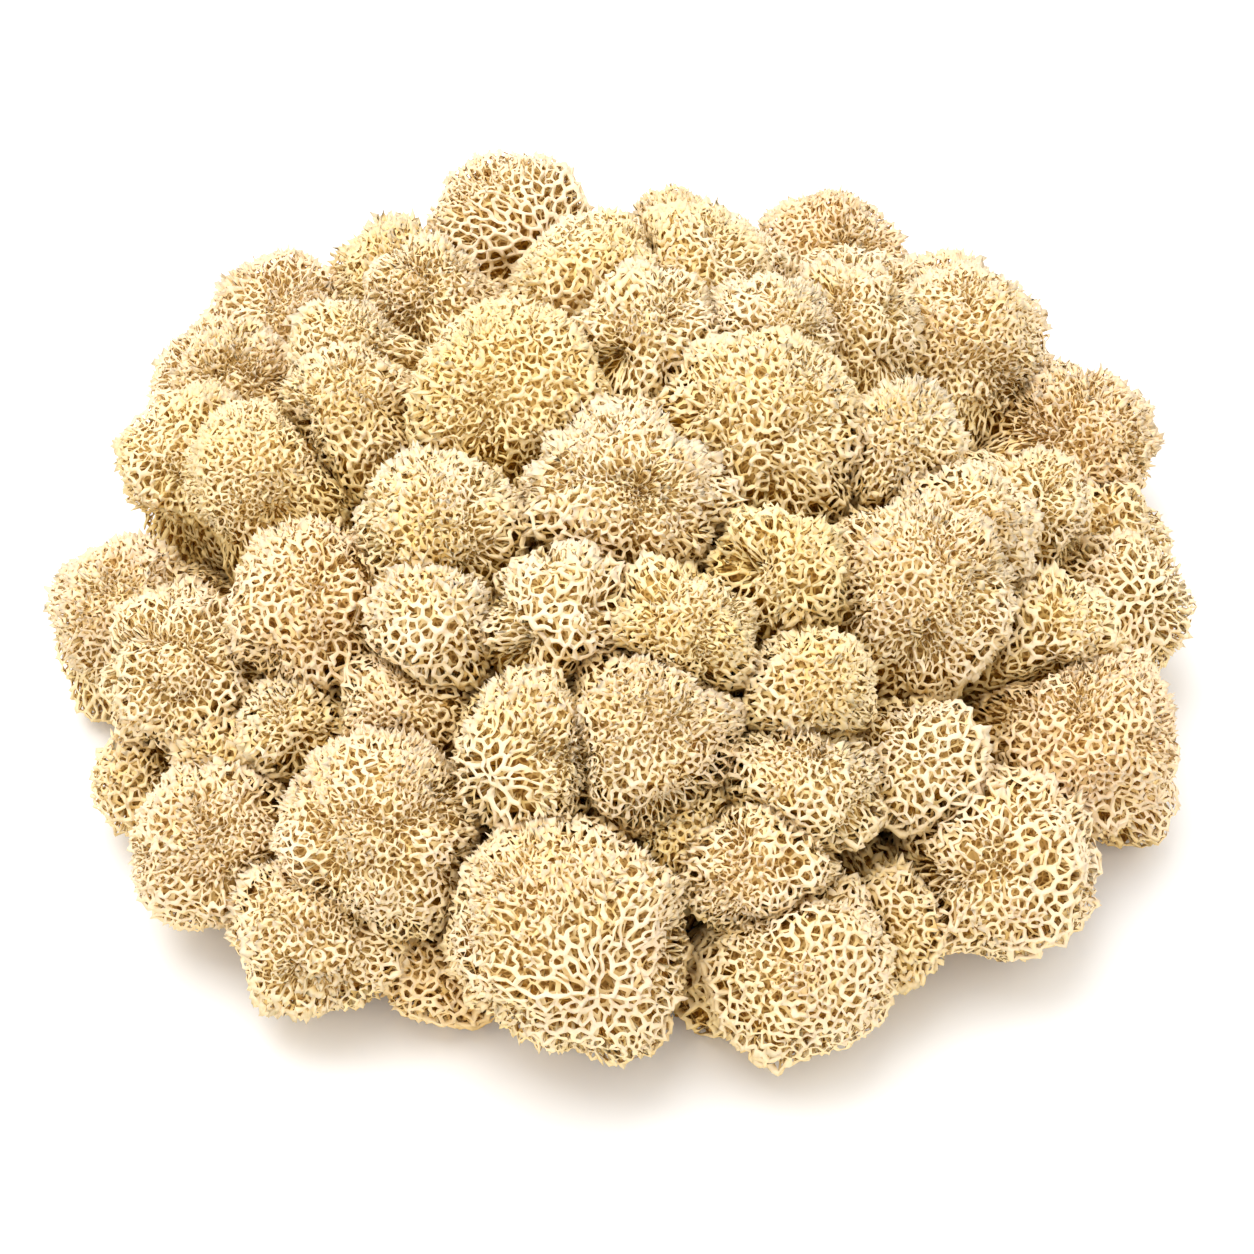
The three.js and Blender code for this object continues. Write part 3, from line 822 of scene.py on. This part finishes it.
# pores of the core: light cell edges like inner branches, darker middles as painted shade
PORE_SHADE_STOPS = [(0.05, srgb(255, 255, 255)), (0.22, srgb(180, 160, 130))]
PORES_FROM, PORES_TO = 2.15, 2.55  # depths between which the pores of the core, with their painted shade, appear
PORE_SIZE = 1.1
DOWNWARD_PAINTED_SHADE = 1.2  # painted shade: faces that look down have the colour of branches this much deeper
DOWNWARD_SHADE_FROM, DOWNWARD_SHADE_TO = 0.5, -0.5  # up-component of their normals where that painted shade begins and ends
MIX_A, MIX_B, MIX_RESULT = 6, 7, 2  # numbers of the colour sockets of a mix node


def add_ramp(nodes, stops):
    ramp = nodes.new("ShaderNodeValToRGB")
    while len(ramp.color_ramp.elements) < len(stops):
        ramp.color_ramp.elements.new(0.5)
    for element, (place, colour) in zip(ramp.color_ramp.elements, stops):
        element.position = place
        element.color = (*colour, 1)
    return ramp


def lichen_material(name, colours):
    """Pale tips, warm hollows and a golden brown inside, by the depth under the outline: partly the
    browner inner branches, partly painted shade.
    """
    material = bpy.data.materials.new(name)
    material.use_nodes = True
    nodes, links = material.node_tree.nodes, material.node_tree.links
    shader = nodes["Principled BSDF"]
    shader.inputs["Roughness"].default_value = 0.85
    shader.inputs["Specular IOR Level"].default_value = 0.2
    depth = nodes.new("ShaderNodeAttribute")
    depth.attribute_name = "depth"
    # painted shade: faces that look down get the colour of deeper branches
    surface = nodes.new("ShaderNodeNewGeometry")
    facing = nodes.new("ShaderNodeSeparateXYZ")
    links.new(surface.outputs["Normal"], facing.inputs["Vector"])
    underside = nodes.new("ShaderNodeMapRange")
    underside.inputs["From Min"].default_value = DOWNWARD_SHADE_FROM
    underside.inputs["From Max"].default_value = DOWNWARD_SHADE_TO
    underside.inputs["To Max"].default_value = DOWNWARD_PAINTED_SHADE
    links.new(facing.outputs["Z"], underside.inputs["Value"])
    depth_and_painted_shade = nodes.new("ShaderNodeMath")
    depth_and_painted_shade.operation = "ADD"
    links.new(depth.outputs["Fac"], depth_and_painted_shade.inputs[0])
    links.new(underside.outputs["Result"], depth_and_painted_shade.inputs[1])
    scale = nodes.new("ShaderNodeMath")
    scale.operation = "DIVIDE"
    scale.inputs[1].default_value = RAMP_DEPTH
    links.new(depth_and_painted_shade.outputs[0], scale.inputs[0])
    # colour by depth: darker hollows, partly browner inner branches and partly painted shade
    depth_and_shade_ramp = add_ramp(nodes, list(zip(COLOUR_PLACES, colours)))
    links.new(scale.outputs[0], depth_and_shade_ramp.inputs["Fac"])

    tint = nodes.new("ShaderNodeAttribute")
    tint.attribute_name = "tint"
    patches = nodes.new("ShaderNodeTexNoise")
    patches.inputs["Scale"].default_value = PATCH_SCALE
    patches.inputs["Detail"].default_value = 1.0
    place = nodes.new("ShaderNodeTexCoord")
    links.new(place.outputs["Object"], patches.inputs["Vector"])
    shifted = nodes.new("ShaderNodeMath")
    shifted.operation = "MULTIPLY_ADD"
    shifted.inputs[1].default_value = PATCH_SWING
    links.new(patches.outputs["Fac"], shifted.inputs[0])
    links.new(tint.outputs["Fac"], shifted.inputs[2])
    centred = nodes.new("ShaderNodeMath")
    centred.operation = "SUBTRACT"
    centred.inputs[1].default_value = PATCH_SWING / 2
    links.new(shifted.outputs[0], centred.inputs[0])
    tint_ramp = add_ramp(nodes, TINT_STOPS)
    links.new(centred.outputs[0], tint_ramp.inputs["Fac"])
    mixed = nodes.new("ShaderNodeMix")
    mixed.data_type = "RGBA"
    mixed.blend_type = "MULTIPLY"
    mixed.inputs["Factor"].default_value = 1.0
    links.new(depth_and_shade_ramp.outputs["Color"], mixed.inputs[MIX_A])
    links.new(tint_ramp.outputs["Color"], mixed.inputs[MIX_B])

    # painted shade: darker middles of the pores on the core
    pores = nodes.new("ShaderNodeTexVoronoi")
    pores.feature = "DISTANCE_TO_EDGE"
    pores.inputs["Scale"].default_value = 1 / (PORE_SIZE * MM)
    links.new(place.outputs["Object"], pores.inputs["Vector"])
    pore_shade_ramp = add_ramp(nodes, PORE_SHADE_STOPS)
    links.new(pores.outputs["Distance"], pore_shade_ramp.inputs["Fac"])
    inner = nodes.new("ShaderNodeMapRange")
    inner.inputs["From Min"].default_value = PORES_FROM
    inner.inputs["From Max"].default_value = PORES_TO
    links.new(depth.outputs["Fac"], inner.inputs["Value"])
    porous = nodes.new("ShaderNodeMix")
    porous.data_type = "RGBA"
    porous.blend_type = "MULTIPLY"
    links.new(inner.outputs["Result"], porous.inputs["Factor"])
    links.new(mixed.outputs[MIX_RESULT], porous.inputs[MIX_A])
    links.new(pore_shade_ramp.outputs["Color"], porous.inputs[MIX_B])
    links.new(porous.outputs[MIX_RESULT], shader.inputs["Base Color"])
    return material


# ---- stage, light, camera, in metres ---------------------------------------------------------

CAMERA_AIM = Vector((1.27, -10.14, 15.7)) * MM
CAMERA_DISTANCE = 620 * MM
CAMERA_LENS = 100
CAMERA_SENSOR = 36
CAMERA_NEAR = 0.05
FLOOR_HALF = 3.0
FLOOR_WHITE = 0.95
SKY_STRENGTH = 1.18
KEY_PLACE, KEY_AIM = (-0.28, 0.12, 1.15), (0, 0, 0)
KEY_SIZE = 0.9
KEY_POWER = 9.0


def place_camera():
    data = bpy.data.cameras.new("camera")
    data.lens = CAMERA_LENS
    data.sensor_width = CAMERA_SENSOR
    data.clip_start = CAMERA_NEAR
    camera = bpy.data.objects.new("camera", data)
    bpy.context.scene.collection.objects.link(camera)
    back = Vector(VIEW_BACK)
    camera.location = CAMERA_AIM + CAMERA_DISTANCE * back
    camera.rotation_euler = (-back).to_track_quat("-Z", "Y").to_euler()
    bpy.context.scene.camera = camera


def place_stage():
    data = bpy.data.meshes.new("floor")
    half = FLOOR_HALF
    corners = [(-half, -half, 0), (half, -half, 0), (half, half, 0), (-half, half, 0)]
    data.from_pydata(corners, [], [(0, 1, 2, 3)])
    floor = bpy.data.objects.new("floor", data)
    bpy.context.scene.collection.objects.link(floor)
    material = bpy.data.materials.new("floor_white")
    material.use_nodes = True
    shader = material.node_tree.nodes["Principled BSDF"]
    shader.inputs["Base Color"].default_value = (FLOOR_WHITE, FLOOR_WHITE, FLOOR_WHITE, 1)
    shader.inputs["Roughness"].default_value = 0.9
    shader.inputs["Specular IOR Level"].default_value = 0.0
    data.materials.append(material)


def place_light(name, place, aim, size, power):
    data = bpy.data.lights.new(name, "AREA")
    data.size = size
    data.energy = power
    light = bpy.data.objects.new(name, data)
    light.location = place
    light.rotation_euler = (Vector(aim) - Vector(place)).to_track_quat("-Z", "Y").to_euler()
    bpy.context.scene.collection.objects.link(light)


def place_lights():
    world = bpy.data.worlds.new("studio")
    world.use_nodes = True
    world.node_tree.nodes["Background"].inputs["Color"].default_value = (1, 1, 1, 1)
    world.node_tree.nodes["Background"].inputs["Strength"].default_value = SKY_STRENGTH
    bpy.context.scene.world = world
    place_light("key", KEY_PLACE, KEY_AIM, KEY_SIZE, KEY_POWER)
    bpy.context.scene.view_settings.view_transform = "Standard"


# ---- the clump -------------------------------------------------------------------------------


def main():
    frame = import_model()
    place_camera()
    place_stage()
    place_lights()
    heads = [Head(name, node) for name, node in sorted(frame["nodes"].items())]
    first = np.cumsum([0] + [len(h.corners) for h in heads])
    crowd = BVHTree.FromPolygons(
        np.concatenate([h.corners for h in heads]).tolist(),
        np.concatenate([h.triangles + f for h, f in zip(heads, first)]).tolist(),
    )
    slots = {"crown": "lichen_ivory", "shoulder": "lichen_straw", "rim": "lichen_sand"}
    materials = {tier: lichen_material(slots[tier], COLOURS[tier]) for tier in slots}
    sizes = []
    for number, head in enumerate(heads):
        rng = np.random.default_rng([SEED, number])
        head.measure(heads, crowd)
        head.style = Style(head.name, rng)
        head.grow_lobes(rng)
        shape = Shape()
        OuterNet(shape, head, rng).grow()
        inner_net(shape, head, rng)
        closed_core(shape, head, rng)
        mesh = make_mesh(head.name + "_branches", shape, head)
        piece = bpy.data.objects.new(head.name + "_branches", mesh)
        bpy.context.scene.collection.objects.link(piece)
        tier = head.name.split("_")[0]
        mesh.materials.append(materials[tier])
        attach(piece, "root")
        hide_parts(head.name)
        sizes.append(len(mesh.polygons))
    print("triangles", sum(sizes), "largest", max(sizes))


main()
